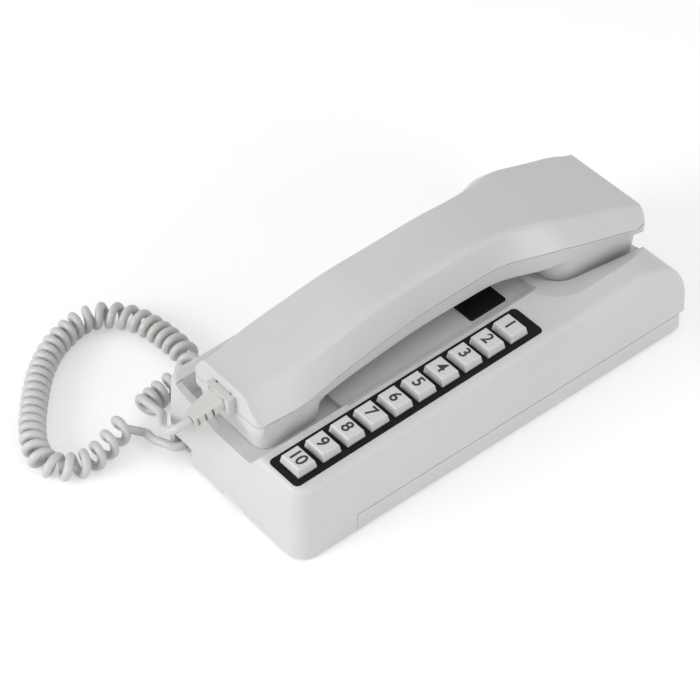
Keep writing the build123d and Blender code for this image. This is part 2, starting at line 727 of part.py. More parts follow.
# Hook switch, its plunger pressed down by the handset at rest
hook_top = -BAY_DEPTH
hook_flange_top = hook_top - WALL - REST_GAP - HOOK_TRAVEL
hook_body_top = hook_flange_top - HOOK_FLANGE_HEIGHT - 1.5
hook_stem_end = hook_body_top - 4.5
hook_bore = hook_stem_end - HOOK_SPRING_LENGTH
with BuildPart() as hook_plunger:
    for low, high, diameter in (
        (hook_flange_top, hook_top, HOOK_HEAD),
        (hook_flange_top - HOOK_FLANGE_HEIGHT, hook_flange_top, HOOK_FLANGE),
        (hook_stem_end, hook_flange_top - HOOK_FLANGE_HEIGHT, HOOK_STEM),
    ):
        with BuildSketch(on_deck(HANDSET_X, hook_y, low)):
            Circle(diameter / 2)
        extrude(amount=high - low)
hook_plunger.part.label = "hook_plunger"
export_step(hook_plunger.part, "parts/hook_plunger.step")

with BuildPart() as hook_switch:
    with BuildSketch(on_deck(HANDSET_X, hook_y, hook_seat)):
        Rectangle(HOOK_BODY_WIDTH, HOOK_BODY_LENGTH)
    extrude(amount=HOOK_BODY_HEIGHT)
    with BuildSketch(on_deck(HANDSET_X, hook_y, hook_bore)):
        Circle(HOOK_STEM / 2 + KEY_CLEARANCE)
    extrude(amount=HOOK_BODY_HEIGHT, mode=Mode.SUBTRACT)
hook_switch.part.label = "hook_switch"
export_step(hook_switch.part, "parts/hook_switch.step")

hook_wire = 0.5
hook_seat_plane = on_deck(HANDSET_X, hook_y, hook_bore + spring_gap + hook_wire / 2)
hook_spring = spring_part(
    hook_seat_plane, HOOK_STEM / 2 - hook_wire, hook_wire,
    HOOK_SPRING_LENGTH - hook_wire - 2 * spring_gap, 3,
)
hook_spring.label = "hook_spring"
export_step(hook_spring, "parts/hook_spring.step")

# Line terminal on the tray
terminal_y = FAR - TERMINAL_FROM_END
terminal_holes = [(INLET_X + step * 7, terminal_y) for step in (-1.5, -0.5, 0.5, 1.5)]
with BuildPart() as line_terminal:
    with BuildSketch(Plane.XY.offset(tray_floor_top)):
        with Locations((INLET_X, terminal_y)):
            Rectangle(TERMINAL_WIDTH, TERMINAL_LENGTH)
    extrude(amount=TERMINAL_HEIGHT)
    with BuildSketch(Plane.XY.offset(tray_floor_top + TERMINAL_HEIGHT)):
        with Locations(terminal_holes):
            Circle(SCREW_HEAD / 2 + FIT)
    extrude(amount=-SCREW_HEAD_HEIGHT - 1, mode=Mode.SUBTRACT)
line_terminal.part.label = "line_terminal"
export_step(line_terminal.part, "parts/line_terminal.step")

with BuildPart() as terminal_screws:
    with BuildSketch(Plane.XY.offset(tray_floor_top + TERMINAL_HEIGHT - SCREW_HEAD_HEIGHT - 1)):
        with Locations(terminal_holes):
            Circle(SCREW_HEAD / 2)
    extrude(amount=SCREW_HEAD_HEIGHT)
    with BuildSketch(Plane.XY.offset(tray_floor_top + TERMINAL_HEIGHT - 1)):
        with Locations(terminal_holes):
            Rectangle(SCREW_HEAD, 0.8)
    extrude(amount=-0.6, mode=Mode.SUBTRACT)
terminal_screws.part.label = "terminal_screws"
export_step(terminal_screws.part, "parts/terminal_screws.step")

# Handset jack and the clear plug in it
plug_back = jack_front - PLUG_OUT
with BuildPart() as handset_jack:
    with BuildSketch(Plane.XY.offset(FOOT_STAND)):
        with Locations((JACK_X, jack_front)):
            Rectangle(JACK_WIDTH, JACK_LENGTH, align=(Align.CENTER, Align.MIN))
    extrude(amount=JACK_HEIGHT)
    with BuildSketch(Plane.XY.offset(tray_floor_top)):
        with Locations((JACK_X, jack_front + WALL)):
            Rectangle(JACK_WIDTH + 4, JACK_LENGTH, align=(Align.CENTER, Align.MIN))
    extrude(amount=1.5)
    with Locations((JACK_X, jack_front, PLUG_Z)):
        Box(
            PLUG_WIDTH + 2 * FIT, (PLUG_LENGTH - PLUG_OUT + FIT) * 2, PLUG_HEIGHT + 2 * FIT,
            mode=Mode.SUBTRACT,
        )
    with Locations((JACK_X, jack_front, PLUG_Z - PLUG_HEIGHT / 2 - 0.8)):
        Box(3.6, (PLUG_LENGTH - PLUG_OUT + FIT) * 2, 1.8, mode=Mode.SUBTRACT)
handset_jack.part.label = "handset_jack"
export_step(handset_jack.part, "parts/handset_jack.step")

with BuildPart() as cord_plug:
    with Locations((JACK_X, plug_back, PLUG_Z)):
        Box(PLUG_WIDTH, PLUG_LENGTH, PLUG_HEIGHT, align=(Align.CENTER, Align.MIN, Align.CENTER))
    with Locations((JACK_X, plug_back - 2, PLUG_Z - PLUG_HEIGHT / 2 - 0.7)):
        Box(3, PLUG_LENGTH - 1, 0.8, align=(Align.CENTER, Align.MIN, Align.CENTER))
    with Locations((JACK_X, plug_back + PLUG_LENGTH - 5, PLUG_Z - PLUG_HEIGHT / 2 - 0.3)):
        Box(3, 2, 1, align=(Align.CENTER, Align.MIN, Align.CENTER))
cord_plug.part.label = "cord_plug"
export_step(cord_plug.part, "parts/cord_plug.step")


# Handset: stations give the distance from an end of the base, the top and the seam over the deck,
# and the half-widths of the seam and of the flat top
NEAR_STATIONS = [
    (HANDSET_NEAR, 21.9, 8.1, 24.0, 14.2),
    (27.0, 23.7, 9.2, 24.0, 15.4),
    (40.0, 25.2, 9.8, 23.0, 16.2),
    (54.0, 27.2, 10.4, 21.2, 16.2),
    (72.0, 29.8, 11.2, 19.8, 15.8),
    (96.0, 30.8, 12.2, 18.4, 15.4),
]
FAR_STATIONS = [
    (98.0, 30.6, 13.0, 18.6, 15.6),
    (82.0, 28.8, 13.8, 20.0, 16.0),
    (68.0, 26.4, 14.4, 25.2, 17.6),
    (54.0, 23.8, 13.8, 29.6, 20.4),
    (38.0, 17.8, 8.8, 30.8, 21.8),
    (20.0, 11.2, 2.8, 30.8, 22.4),
    (10.0, 7.2, -1.0, 30.8, 22.6),
    (HANDSET_FAR, 2.8, -5.0, 30.8, 22.6),
]


def handset_stations():
    """Stations from the mouth to the ear, the outer ones a little beyond the square ends."""
    rows = [(NEAR + y, top, seam, wide, flat) for y, top, seam, wide, flat in NEAR_STATIONS]
    rows += [(FAR - y, top, seam, wide, flat) for y, top, seam, wide, flat in FAR_STATIONS]
    rows[0] = (rows[0][0] - END_MARGIN, *rows[0][1:])
    rows[-1] = (rows[-1][0] + END_MARGIN, *rows[-1][1:])
    return rows


def top_over_deck(place):
    """Height of the handset's flat top over the deck, between stations."""
    rows = handset_stations()
    before, after = next((a, b) for a, b in zip(rows, rows[1:]) if a[0] <= place <= b[0])
    return before[1] + (after[1] - before[1]) * (place - before[0]) / (after[0] - before[0])


def handset_ends(inset):
    """Plan that cuts the handset's ends square, with round corners."""
    near = NEAR + HANDSET_NEAR + inset
    far = FAR - HANDSET_FAR - inset
    mouth_half = NEAR_STATIONS[0][3] + 0.05 - inset
    ear_half = FAR_STATIONS[-1][3] + 0.05 - inset
    with BuildPart() as ends:
        with BuildSketch(Plane.XY) as plan:
            with BuildLine():
                right = Polyline(
                    (HANDSET_X + mouth_half, near),
                    (HANDSET_X + mouth_half, near + MOUTH_LENGTH / 2),
                    (HANDSET_X + BASE_WIDTH, near + MOUTH_LENGTH / 2),
                    (HANDSET_X + BASE_WIDTH, far - EAR_LENGTH / 2),
                    (HANDSET_X + ear_half, far - EAR_LENGTH / 2),
                    (HANDSET_X + ear_half, far),
                )
                mirror(right, about=Plane.YZ.offset(HANDSET_X))
                Line((HANDSET_X - mouth_half, near), (HANDSET_X + mouth_half, near))
                Line((HANDSET_X - ear_half, far), (HANDSET_X + ear_half, far))
            make_face()
            fillet(plan.vertices().group_by(Axis.Y)[0], MOUTH_RADIUS - inset)
            fillet(plan.vertices().group_by(Axis.Y)[-1], EAR_CORNER - inset)
        extrude(amount=NEAR_HEIGHT * 3)
    return ends.part


def body_form(inset):
    """Grip, bevelled back and both ends, from the underside of the grip to the flat top."""
    with BuildPart() as form:
        for y, top, seam, wide, flat in handset_stations():
            under = min(GRIP_RISE, seam - SEAM_TO_UNDER)
            upright = Plane(origin=(HANDSET_X, y, deck_z(y)), x_dir=(1, 0, 0), z_dir=(0, -1, 0))
            with BuildSketch(upright) as section:
                with BuildLine():
                    Polyline(
                        (-wide + inset + SIDE_LEAN, under + inset),
                        (wide - inset - SIDE_LEAN, under + inset),
                        (wide - inset, seam),
                        (flat - inset / 2, top - inset),
                        (-flat + inset / 2, top - inset),
                        (-wide + inset, seam),
                        close=True,
                    )
                make_face()
                fillet(section.vertices().group_by(Axis.Y)[-1], TOP_ROUNDING - inset / 2)
                fillet(section.vertices().group_by(Axis.Y)[0], UNDER_ROUNDING - inset / 2)
        loft()
        add(handset_ends(inset), mode=Mode.INTERSECT)
    return form.part


mouth_y = NEAR + HANDSET_NEAR + MOUTH_TAPER + FIT + MOUTH_LENGTH / 2
mouth_plane = on_deck(HANDSET_X, mouth_y, -BAY_DEPTH + REST_GAP)
ear_plane = tilted(FAR - EAR_FROM_END, EAR_HEIGHT + REST_GAP, EAR_TILT)


def cap_forms(inset):
    """Mouth and ear caps under the body, with the curved necks toward the grip."""
    forms = []
    for plane, width, length, radius, taper, height in (
        (mouth_plane, MOUTH_WIDTH, MOUTH_LENGTH, MOUTH_RADIUS, MOUTH_TAPER, MOUTH_CAP_HEIGHT),
        (ear_plane, EAR_WIDTH, EAR_LENGTH, EAR_RADIUS, EAR_TAPER, EAR_CAP_HEIGHT),
    ):
        with BuildPart() as cap:
            with BuildSketch(plane.offset(inset)):
                RectangleRounded(width - 2 * inset, length - 2 * inset, radius - inset)
            above = Plane(origin=plane.origin + Vector(0, 0, height), x_dir=plane.x_dir, z_dir=plane.z_dir)
            with BuildSketch(above):
                RectangleRounded(
                    width + 2 * taper - 2 * inset, length + 2 * taper - 2 * inset, radius + taper - inset
                )
            loft(ruled=True)
        forms.append(cap.part)
    mouth_far = mouth_y + MOUTH_LENGTH / 2 - inset
    mouth_under = deck_z(mouth_far) - BAY_DEPTH + REST_GAP + inset
    grip_under = deck_z(mouth_far) + GRIP_RISE + inset
    with BuildPart() as neck:
        with BuildSketch(Plane.YZ):
            with BuildLine():
                Polyline(
                    (mouth_far + NECK_LENGTH, grip_under + 1),
                    (mouth_far - 4, grip_under + 1),
                    (mouth_far - 4, mouth_under + 1),
                    (mouth_far - 0.3, mouth_under + 1),
                )
                ThreePointArc(
                    (mouth_far - 0.3, mouth_under + 1),
                    (mouth_far + NECK_LENGTH * 0.32, grip_under - NECK_LENGTH * 0.24),
                    (mouth_far + NECK_LENGTH, grip_under + 1),
                )
            make_face()
        half = MOUTH_WIDTH / 2 - NECK_INSET - inset
        extrude(amount=half - HANDSET_X, dir=(1, 0, 0))
    with BuildPart() as neck_bounds:
        with BuildSketch(Plane.XY):
            with Locations((HANDSET_X, mouth_far)):
                Rectangle(2 * half, NECK_LENGTH * 3)
        extrude(amount=NEAR_HEIGHT * 2)
    with BuildPart() as full_neck:
        add(neck.part)
        mirror(neck.part, about=Plane.YZ.offset(HANDSET_X))
        add(neck_bounds.part, mode=Mode.INTERSECT)
    forms.append(full_neck.part)
    return forms


def handset_form(inset):
    mouth_cap, ear_cap, neck = cap_forms(inset)
    with BuildPart() as form:
        add(body_form(inset))
        add(mouth_cap)
        add(ear_cap)
        add(neck)
    return form.part


def seam_band(low, high):
    """Band across the handset that follows the seam, between two heights over it."""
    rows = handset_stations()
    middle = [(y, deck_z(y) + seam) for y, top, seam, wide, flat in rows]
    middle[0] = (middle[0][0] - HOOD_LENGTH * 2, middle[0][1])
    middle[-1] = (middle[-1][0] + HOOD_LENGTH * 2, middle[-1][1])
    with BuildPart() as band:
        with BuildSketch(Plane.YZ):
            with BuildLine():
                Polyline(
                    *[(y, z + low) for y, z in middle],
                    *[(y, z + high) for y, z in reversed(middle)],
                    close=True,
                )
            make_face()
        extrude(amount=BASE_WIDTH, both=True)
    return band.part


outside = handset_form(0)
inside = handset_form(HANDSET_WALL)
shell = outside - inside
upper_half = seam_band(0, 2 * BASE_WIDTH)
lower_half = seam_band(-2 * BASE_WIDTH, -HANDSET_SEAM)

boot_origin = Vector(HANDSET_X, NEAR + HANDSET_NEAR - HOOD_LENGTH, HOOD_Z)
droop = math.radians(BOOT_DROOP)
boot_dir = Vector(0, -math.cos(droop), -math.sin(droop))
boot_plane = Plane(origin=boot_origin, x_dir=(1, 0, 0), z_dir=boot_dir)
screw_places = (NEAR + HANDSET_SCREW_NEAR, FAR - HANDSET_SCREW_FAR)
screw_seat = GRIP_RISE + HANDSET_WALL

with BuildPart() as handset_upper_shell:
    add(shell)
    add(upper_half, mode=Mode.INTERSECT)
    with Locations((HANDSET_X, NEAR + HANDSET_NEAR + 1, HOOD_Z)):
        Box(HOOD_WIDTH, HOOD_LENGTH + 1, HOOD_HEIGHT, align=(Align.CENTER, Align.MAX, Align.CENTER))
    add(seam_band(-2 * BASE_WIDTH, 0), mode=Mode.SUBTRACT)
    for place in screw_places:
        with BuildSketch(on_deck(HANDSET_X, place, screw_seat + 4.5)):
            Circle(3.2)
        extrude(amount=top_over_deck(place) - HANDSET_WALL / 2 - screw_seat - 4.5)
        with BuildSketch(on_deck(HANDSET_X, place, screw_seat + 4.5)):
            Circle(post_hole / 2)
        extrude(amount=8, mode=Mode.SUBTRACT)
    with BuildSketch(boot_plane.offset(-HOOD_LENGTH * 2)):
        Rectangle(BOOT_WIDTH + FIT, BOOT_HEIGHT + FIT)
    extrude(amount=HOOD_LENGTH * 3, mode=Mode.SUBTRACT)
handset_upper_shell.part.label = "handset_upper_shell"

with BuildPart() as handset_lower_shell:
    add(shell)
    add(lower_half, mode=Mode.INTERSECT)
    for place in screw_places:
        with BuildSketch(on_deck(HANDSET_X, place, GRIP_RISE + 0.5)):
            Circle(3.6)
        extrude(amount=HANDSET_WALL + 3.6)
        with BuildSketch(on_deck(HANDSET_X, place, GRIP_RISE - 1)):
            Circle(SCREW_HEAD / 2 + FIT)
        extrude(amount=1 + SCREW_HEAD_HEIGHT + 0.4, mode=Mode.SUBTRACT)
        with BuildSketch(on_deck(HANDSET_X, place, GRIP_RISE)):
            Circle(post_hole / 2 + FIT)
        extrude(amount=HANDSET_WALL + 6, mode=Mode.SUBTRACT)
    for plane, diameter, rings in (
        (ear_plane, RECEIVER_DIAMETER, 2),
        (mouth_plane, MIC_DIAMETER, 1),
    ):
        with BuildSketch(plane.offset(HANDSET_WALL / 2)):
            Circle(diameter / 2 + FIT + CUP_WALL)
            Circle(diameter / 2 + FIT, mode=Mode.SUBTRACT)
        extrude(amount=CUP_HEIGHT)
        with BuildSketch(plane.offset(-1)):
            Circle(1)
            for ring in range(1, rings + 1):
                with PolarLocations(ring * 4.5, 6 * ring):
                    Circle(1)
        extrude(amount=HANDSET_WALL + 2, mode=Mode.SUBTRACT)
handset_lower_shell.part.label = "handset_lower_shell"
export_step(handset_upper_shell.part, "parts/handset_upper_shell.step")
export_step(handset_lower_shell.part, "parts/handset_lower_shell.step")

with BuildPart() as handset_screws:
    for place in screw_places:
        head_seat = GRIP_RISE + SCREW_HEAD_HEIGHT + 0.4
        with BuildSketch(on_deck(HANDSET_X, place, head_seat - SCREW_HEAD_HEIGHT)):
            Circle(SCREW_HEAD / 2)
        extrude(amount=SCREW_HEAD_HEIGHT)
        with BuildSketch(on_deck(HANDSET_X, place, head_seat)):
            Circle(SCREW_SHANK / 2)
        extrude(amount=10)
handset_screws.part.label = "handset_screws"
export_step(handset_screws.part, "parts/handset_screws.step")

# Receiver, microphone and their rubber rings
for name, plane, diameter, height in (
    ("receiver", ear_plane, RECEIVER_DIAMETER, RECEIVER_HEIGHT),
    ("microphone", mouth_plane, MIC_DIAMETER, MIC_HEIGHT),
):
    with BuildPart() as gasket:
        with BuildSketch(plane.offset(HANDSET_WALL)):
            Circle(diameter / 2)
            Circle(diameter / 2 - GASKET_RIM, mode=Mode.SUBTRACT)
        extrude(amount=GASKET)
    gasket.part.label = f"{name}_gasket"
    export_step(gasket.part, f"parts/{name}_gasket.step")
    with BuildPart() as capsule:
        with BuildSketch(plane.offset(HANDSET_WALL + GASKET)):
            Circle(diameter / 2)
        extrude(amount=height)
        back = capsule.edges().filter_by(GeomType.CIRCLE).sort_by(Axis.Z)[-1]
        chamfer(back, 1)
    capsule.part.label = f"{name}_capsule"
    export_step(capsule.part, f"parts/{name}_capsule.step")

with BuildPart() as handset_weight:
    with BuildSketch(on_deck(HANDSET_X, (screw_places[0] + screw_places[1]) / 2, screw_seat + FIT)):
        RectangleRounded(WEIGHT_WIDTH, WEIGHT_LENGTH, 2)
    extrude(amount=WEIGHT_HEIGHT)
handset_weight.part.label = "handset_weight"
export_step(handset_weight.part, "parts/handset_weight.step")

# Strain relief: a tapered ribbed sleeve with a flange inside the handset
with BuildPart() as strain_relief:
    with BuildSketch(boot_plane):
        RectangleRounded(BOOT_WIDTH, BOOT_HEIGHT, 2)
    with BuildSketch(boot_plane.offset(BOOT_LENGTH)):
        RectangleRounded(BOOT_TIP, BOOT_TIP_HEIGHT, 2)
    loft(ruled=True)
    with BuildSketch(boot_plane):
        RectangleRounded(BOOT_WIDTH, BOOT_HEIGHT, 2)
    extrude(amount=-HOOD_LENGTH - HANDSET_WALL)
    with BuildSketch(boot_plane.offset(-HOOD_LENGTH - HANDSET_WALL - 1.2)):
        RectangleRounded(BOOT_WIDTH + 3, BOOT_HEIGHT + 1.5, 2)
    extrude(amount=-BOOT_FLANGE)
    with BuildSketch(boot_plane.offset(-HOOD_LENGTH - HANDSET_WALL)):
        RectangleRounded(BOOT_WIDTH, BOOT_HEIGHT, 2)
    extrude(amount=-2)
    for row in range(3):
        for side in (-1, 1):
            with BuildSketch(boot_plane.offset(3 + row * 3.6 + (1.8 if side > 0 else 0))):
                with Locations((side * BOOT_WIDTH / 2, 0)):
                    Rectangle(5, BOOT_HEIGHT * 0.62)
            extrude(amount=1.1, mode=Mode.SUBTRACT)
strain_relief.part.label = "strain_relief"
export_step(strain_relief.part, "parts/strain_relief.step")


# Coil axis: a smooth curve through the middles of the route's runs
def coil_axis(per_run=40):
    """Places along the coil's axis, each with its pitch."""
    rows = [(Vector(x, y, z), pitch) for x, y, z, pitch in COIL_ROUTE]
    samples = []
    last = len(rows) - 1
    for index in range(1, last):
        before = rows[0][0] if index == 1 else (rows[index - 1][0] + rows[index][0]) * 0.5
        after = rows[last][0] if index == last - 1 else (rows[index][0] + rows[index + 1][0]) * 0.5
        for step in range(per_run):
            t = step / per_run
            place = before * (1 - t) ** 2 + rows[index][0] * (2 * t * (1 - t)) + after * t ** 2
            pitch = rows[index - 1][1] + (rows[index][1] - rows[index - 1][1]) * (t + 0.5)
            if t > 0.5:
                pitch = rows[index][1] + (rows[index + 1][1] - rows[index][1]) * (t - 0.5)
            samples.append((place, pitch))
    samples.append((rows[last][0], rows[last][1]))
    return samples


def coil_helix():
    """Places on the wire's middle line, at equal steps of angle, with the phase of each."""
    samples = coil_axis()
    phases = [0.0]
    for (place, pitch), (after, pitch_after) in zip(samples, samples[1:]):
        phases.append(phases[-1] + (after - place).length * 2 / (pitch + pitch_after))
    turns = round(phases[-1]) + 0.5
    phases = [phase * turns / phases[-1] for phase in phases]

    def wire_point(turn):
        index = max(i for i in range(len(phases) - 1) if phases[i] <= turn + 1e-9)
        share = (turn - phases[index]) / (phases[index + 1] - phases[index])
        axis = samples[index][0] + (samples[index + 1][0] - samples[index][0]) * share
        low = max(index - 3, 0)
        high = min(index + 4, len(samples) - 1)
        ahead = (samples[high][0] - samples[low][0]).normalized()
        side = Vector(0, 0, 1).cross(ahead).normalized()
        angle = math.radians(START_PHASE - 360 * turn)
        over = ahead.cross(side)
        return axis + (side * math.cos(angle) + over * math.sin(angle)) * CURL_RADIUS

    return wire_point, turns


wire_point, curl_turns = coil_helix()
knots = [curl_turns * step / round(curl_turns * ARCS_PER_TURN) for step in range(round(curl_turns * ARCS_PER_TURN) + 1)]
step = 0.002
places = [wire_point(min(knot, curl_turns)) for knot in knots]
directions = []
for knot in knots:
    before = wire_point(max(knot - step, 0))
    after = wire_point(min(knot + step, curl_turns))
    directions.append((after - before).normalized())
directions[0] = Vector(directions[0].X, directions[0].Y, 0).normalized()
directions[-1] = Vector(directions[-1].X, directions[-1].Y, 0).normalized()
coil_edges = helix_edges(places, directions)
coil_start = places[0] - directions[0] * WIRE
coil_end = places[-1] + directions[-1] * WIRE
coil_wire = Wire([Line(coil_start, places[0]).edge(), *coil_edges, Line(places[-1], coil_end).edge()])
with BuildPart() as cord_coil:
    with BuildSketch(Plane(origin=coil_start, z_dir=directions[0])):
        Circle(WIRE / 2)
    sweep(path=coil_wire)
cord_coil.part.label = "cord_coil"
export_step(cord_coil.part, "parts/cord_coil.step")

samples = [wire_point(curl_turns * i / 2400) for i in range(2401)]
per_turn = int(2400 / curl_turns)
least_gap, least_at = min(
    ((samples[i] - samples[j]).length, i)
    for i in range(0, 2401, 2)
    for j in range(i + per_turn // 2, min(i + 3 * per_turn, 2401))
)
print("least gap at", samples[least_at])
print("coil turns", curl_turns, "wire length", round(coil_wire.length, 1), "gap", round(least_gap - WIRE, 2))
print("smallest coil radius", round(min(edge.radius for edge in coil_edges), 2))
print("coil volume over section times length",
      round(cord_coil.part.volume / (coil_wire.length * math.pi * WIRE ** 2 / 4), 4))


# Plain tails
def tail_part(points, name):
    """Tube of straight runs joined by tangent arcs."""
    radii = []
    for before, corner, after in zip(points, points[1:], points[2:]):
        run_in = corner - before
        run_out = after - corner
        half_turn = math.radians(run_in.get_angle(run_out)) / 2
        radii.append(0.45 * min(run_in.length, run_out.length) / math.tan(half_turn))
    print(name, "radii", [round(radius, 1) for radius in radii])
    with BuildPart() as tail:
        with BuildLine() as path:
            FilletPolyline(*points, radius=radii)
        line = path.wires()[0]
        with BuildSketch(Plane(origin=line @ 0, z_dir=line % 0)):
            Circle(WIRE / 2)
        sweep(path=line)
    length = line.length
    print(name, "length", round(length, 1), "volume ratio",
          round(tail.part.volume / (length * math.pi * WIRE ** 2 / 4), 4))
    tail.part.label = name
    export_step(tail.part, f"parts/{name}.step")


boot_tip = boot_origin + boot_dir * (BOOT_LENGTH + REST_GAP)
plug_end = Vector(JACK_X, plug_back, PLUG_Z)
tail_part(
    [
        plug_end,
        plug_end - Vector(0, PLUG_LEAD, 0),
        *[Vector(*corner) for corner in PLUG_TAIL],
        coil_start - directions[0] * COIL_LEAD,
        coil_start,
    ],
    "cord_base_tail",
)
tail_part(
    [
        coil_end,
        coil_end + directions[-1] * COIL_LEAD,
        *[Vector(*corner) for corner in HANDSET_TAIL],
        boot_tip + boot_dir * BOOT_LEAD,
        boot_tip,
    ],
    "cord_handset_tail",
)
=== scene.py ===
"""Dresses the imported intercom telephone: its cord, key numbers, finishes, light and camera.

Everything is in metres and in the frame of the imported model. The origin is at the bottom centre
of the base, +X points to the key side, +Y to the earpiece end and +Z up.
"""

from __future__ import annotations

import logging
import math
from collections.abc import Sequence
from dataclasses import dataclass
from enum import Enum
from typing import Any

import bpy
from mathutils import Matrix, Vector

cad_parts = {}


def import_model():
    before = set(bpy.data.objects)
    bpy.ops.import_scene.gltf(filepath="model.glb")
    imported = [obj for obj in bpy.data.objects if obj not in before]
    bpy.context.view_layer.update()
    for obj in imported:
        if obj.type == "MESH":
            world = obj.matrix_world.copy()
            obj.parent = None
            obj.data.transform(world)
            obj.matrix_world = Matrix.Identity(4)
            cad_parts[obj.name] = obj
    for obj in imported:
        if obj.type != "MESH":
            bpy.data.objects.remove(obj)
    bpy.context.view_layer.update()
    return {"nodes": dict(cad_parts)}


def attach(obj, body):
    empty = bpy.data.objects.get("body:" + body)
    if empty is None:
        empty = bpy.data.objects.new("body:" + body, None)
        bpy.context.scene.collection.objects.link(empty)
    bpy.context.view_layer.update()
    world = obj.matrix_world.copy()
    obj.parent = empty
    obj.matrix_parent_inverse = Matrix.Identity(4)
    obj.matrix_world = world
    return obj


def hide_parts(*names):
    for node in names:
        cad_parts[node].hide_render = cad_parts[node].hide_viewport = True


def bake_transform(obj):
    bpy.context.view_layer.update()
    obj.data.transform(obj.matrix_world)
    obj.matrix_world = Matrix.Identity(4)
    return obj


LOG = logging.getLogger("intercom")
MM = 0.001
KEY_NUMBERS = range(1, 11)
DECK_SLOPE = math.radians(1.55)
WHITE = (1.0, 1.0, 1.0, 1.0)
Colour = tuple[float, float, float]
Band = tuple[float, float]

# The band that soft noise fills, apart from its rare highest and lowest places
NOISE_BAND: Band = (0.3, 0.7)

# Points of the coil's axis with the pitch there, in metres, from the plug's end
COIL_ROUTE = (
    (-0.0591, -0.1236, 0.0083, 0.0088),
    (-0.0570, -0.1295, 0.0081, 0.0088),
    (-0.0545, -0.1365, 0.0072, 0.0084),
    (-0.0526, -0.1440, 0.0065, 0.0072),
    (-0.0524, -0.1518, 0.0065, 0.0068),
    (-0.0560, -0.1596, 0.0065, 0.0070),
    (-0.0636, -0.1639, 0.0065, 0.0070),
    (-0.0736, -0.1623, 0.0065, 0.0058),
    (-0.0840, -0.1564, 0.0065, 0.0049),
    (-0.0946, -0.1480, 0.0065, 0.0048),
    (-0.1035, -0.1402, 0.0065, 0.0049),
    (-0.1110, -0.1326, 0.0065, 0.00495),
    (-0.1183, -0.1224, 0.0065, 0.0052),
    (-0.1226, -0.1120, 0.0065, 0.0056),
    (-0.1252, -0.1010, 0.0065, 0.0062),
    (-0.1224, -0.0908, 0.0065, 0.0068),
    (-0.1130, -0.0826, 0.0065, 0.0066),
    (-0.1027, -0.0790, 0.0065, 0.0058),
    (-0.0880, -0.0774, 0.0065, 0.0052),
    (-0.0780, -0.0774, 0.0065, 0.0072),
    (-0.0704, -0.0790, 0.0065, 0.0096),
    (-0.0668, -0.0852, 0.0065, 0.0098),
    (-0.0664, -0.0934, 0.0065, 0.0076),
    (-0.0652, -0.1016, 0.0065, 0.0052),
    (-0.0630, -0.1110, 0.0065, 0.0048),
)

# Points of the two plain tails, between the coil and what each goes into
PLUG_TAIL = ((-0.0396, -0.1178, 0.0073), (-0.0456, -0.1198, 0.0060))
HANDSET_TAIL = (
    (-0.0494, -0.1109, 0.0130),
    (-0.0436, -0.1152, 0.0170),
    (-0.0370, -0.1196, 0.0228),
    (-0.0302, -0.1242, 0.0296),
    (-0.0236, -0.1286, 0.0366),
    (-0.0170, -0.1320, 0.0428),
)


class LampSpot(Enum):
    """Where a lamp hangs around the telephone."""

    NEAR_LEFT = "near_left"
    ABOVE = "above"
    RIGHT = "right"


class Value:
    """One output socket of a node. Expressions on values add Math nodes."""

    def __init__(self, graph: Graph, socket: bpy.types.NodeSocket) -> None:
        """Keeps the socket and the graph that holds it."""
        self.graph = graph
        self.socket = socket

    def _math(self, operation: str, first: Value | float, second: Value | float) -> Value:
        """Adds a Math node.

        Args:
            operation: The Math node's operation.
            first: The first operand.
            second: The second operand.

        Returns:
            The node's result.
        """
        inputs = {0: first, 1: second}
        return self.graph.add("ShaderNodeMath", {"operation": operation}, inputs)["Value"]

    def __add__(self, other: Value | float) -> Value:
        """Adds."""
        return self._math("ADD", self, other)

    __radd__ = __add__

    def __sub__(self, other: Value | float) -> Value:
        """Takes the other away."""
        return self._math("SUBTRACT", self, other)

    def __rsub__(self, other: Value | float) -> Value:
        """Is taken away from the other."""
        return self._math("SUBTRACT", other, self)

    def __mul__(self, other: Value | float) -> Value:
        """Multiplies."""
        return self._math("MULTIPLY", self, other)

    __rmul__ = __mul__

    def above(self, level: float) -> Value:
        """Is 1 where this is over the level and 0 elsewhere."""
        return self._math("GREATER_THAN", self, level)


class Outputs:
    """The outputs of one node, by name or index."""

    def __init__(self, graph: Graph, node: bpy.types.Node) -> None:
        """Keeps the node."""
        self.graph = graph
        self.node = node

    def __getitem__(self, name: str | int) -> Value:
        """Gives the output of that name or index."""
        return Value(self.graph, self.node.outputs[name])


